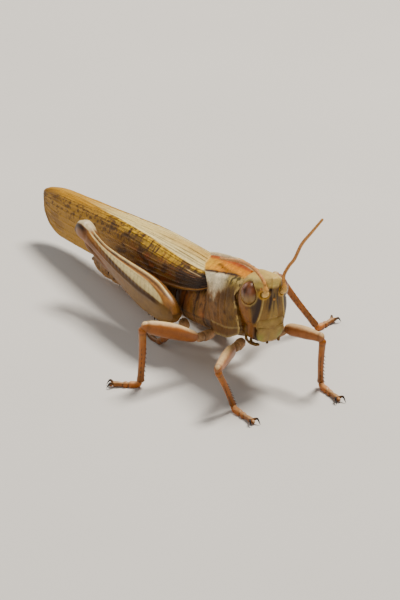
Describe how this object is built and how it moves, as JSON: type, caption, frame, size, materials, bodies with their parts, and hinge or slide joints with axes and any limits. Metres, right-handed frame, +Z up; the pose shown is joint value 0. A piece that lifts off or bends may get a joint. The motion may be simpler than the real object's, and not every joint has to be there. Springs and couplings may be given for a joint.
{
  "type": "life-size still model of a migratory locust type grasshopper",
  "caption": "Life-size still model of a brown grasshopper standing on its feet, wings folded, one feeler raised and the other laid back.",
  "frame": {"origin": "on the floor the feet stand on, under the centre of the outline's box", "axes": "+X is the insect's left, +Y runs back along the body to the wing tips, +Z is up; the head faces -Y"},
  "size_m": [0.0338, 0.0609, 0.023],
  "materials": {
    "head_shell": "waxy shell, olive to tan",
    "eye": "glossy dark brown",
    "antenna": "ringed red-brown shell",
    "jaw": "glossy blue-black shell",
    "pronotum_shell": "pitted tan and olive shell",
    "trunk_shell": "waxy pinkish brown shell",
    "abdomen_shell": "satin tan shell",
    "tail_shell": "satin brown shell",
    "forewing": "dry veined straw membrane, mottled brown",
    "hindwing": "clear straw membrane, folded",
    "leg_shell": "waxy orange-brown shell",
    "foot_shell": "waxy brown shell",
    "hind_thigh": "waxy tan shell with a cream stripe"
  },
  "bodies": {
    "root": {"head": "head_shell", "eye_left": "eye", "eye_right": "eye", "antenna_left": "antenna", "antenna_right": "antenna", "labrum": "head_shell", "labium": "head_shell", "mandible_left": "jaw", "mandible_right": "jaw", "palp_maxillary_left": "head_shell", "palp_maxillary_right": "head_shell", "palp_labial_left": "head_shell", "palp_labial_right": "head_shell", "pronotum": "pronotum_shell", "prothorax": "trunk_shell", "mesothorax": "trunk_shell", "metathorax": "trunk_shell", "abdomen": "abdomen_shell", "ovipositor_upper": "tail_shell", "ovipositor_lower": "tail_shell", "cercus_left": "tail_shell", "cercus_right": "tail_shell", "tegmen_left": "forewing", "tegmen_right": "forewing", "hindwing_left": "hindwing", "hindwing_right": "hindwing", "coxa_fore_left": "trunk_shell", "femur_fore_left": "leg_shell", "tibia_fore_left": "leg_shell", "tarsus_fore_left": "foot_shell", "coxa_fore_right": "trunk_shell", "femur_fore_right": "leg_shell", "tibia_fore_right": "leg_shell", "tarsus_fore_right": "foot_shell", "coxa_mid_left": "trunk_shell", "femur_mid_left": "leg_shell", "tibia_mid_left": "leg_shell", "tarsus_mid_left": "foot_shell", "coxa_mid_right": "trunk_shell", "femur_mid_right": "leg_shell", "tibia_mid_right": "leg_shell", "tarsus_mid_right": "foot_shell", "coxa_hind_left": "trunk_shell", "femur_hind_left": "hind_thigh", "tibia_hind_left": "leg_shell", "tarsus_hind_left": "foot_shell", "coxa_hind_right": "trunk_shell", "femur_hind_right": "hind_thigh", "tibia_hind_right": "leg_shell", "tarsus_hind_right": "foot_shell"}
  },
  "joints": []
}
